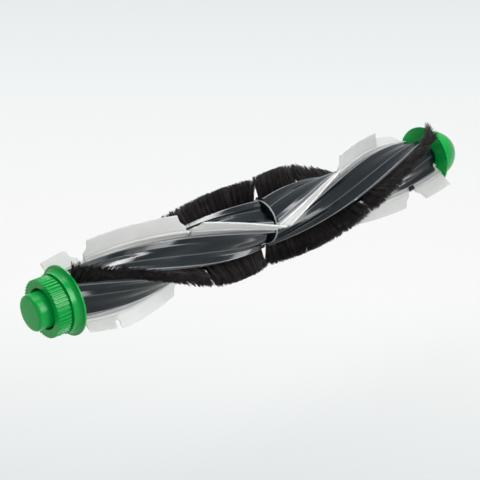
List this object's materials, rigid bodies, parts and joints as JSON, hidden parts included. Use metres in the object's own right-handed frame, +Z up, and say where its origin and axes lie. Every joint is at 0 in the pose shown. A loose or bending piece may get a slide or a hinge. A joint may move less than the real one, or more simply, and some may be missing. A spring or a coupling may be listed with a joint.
{
  "type": "robot vacuum roller brush",
  "caption": "Robot vacuum roller brush: a twisted chevron core with lipped slots holds flexible blades and bristle rows between a toothed drive pulley and a dished, domed end cap.",
  "frame": {"origin": "on the brush axis, in the plane of the pulley's front face, inside the round wall of the drive-end cap", "axes": "+X along the axis from the drive end to the idle end, +Z up, +Y to the back"},
  "size_m": [0.2903, 0.0486, 0.0486],
  "materials": {
    "end_plastic": "moulded satin gloss",
    "core_plastic": "glossy near-black",
    "blade_rubber": "pale translucent, satin",
    "bristle_fibre": "dense nylon fibres",
    "backing_plastic": "matte",
    "steel": "ground",
    "bush_bronze": "sintered"
  },
  "bodies": {
    "drive_cap": {"drive_end_cap": "end_plastic", "drive_bush": "bush_bronze"},
    "roller": {"axle": "steel", "drive_pulley": "end_plastic", "drive_retaining_ring": "steel", "core_drive_half": "core_plastic", "core_idle_half": "core_plastic", "idle_retaining_ring": "steel", "blade_strip_drive_1": "blade_rubber", "bristle_backing_drive_1": "backing_plastic", "bristle_tufts_drive_1_inner": "bristle_fibre", "bristle_tufts_drive_1_outer": "bristle_fibre", "blade_strip_drive_2": "blade_rubber", "bristle_backing_drive_2": "backing_plastic", "bristle_tufts_drive_2_inner": "bristle_fibre", "bristle_tufts_drive_2_outer": "bristle_fibre", "blade_strip_idle_1": "blade_rubber", "bristle_backing_idle_1": "backing_plastic", "bristle_tufts_idle_1_inner": "bristle_fibre", "bristle_tufts_idle_1_outer": "bristle_fibre", "blade_strip_idle_2": "blade_rubber", "bristle_backing_idle_2": "backing_plastic", "bristle_tufts_idle_2_inner": "bristle_fibre", "bristle_tufts_idle_2_outer": "bristle_fibre"},
    "idle_cap": {"idle_end_cap": "end_plastic", "idle_bush": "bush_bronze"}
  },
  "joints": [
    {"name": "roller_spin", "type": "hinge", "parent": "drive_cap", "child": "roller", "pos_m": [0, 0, 0], "axis": [1, 0, 0], "continuous": true},
    {"name": "idle_cap_spin", "type": "hinge", "parent": "roller", "child": "idle_cap", "pos_m": [0.2655, 0, 0], "axis": [1, 0, 0], "continuous": true}
  ]
}
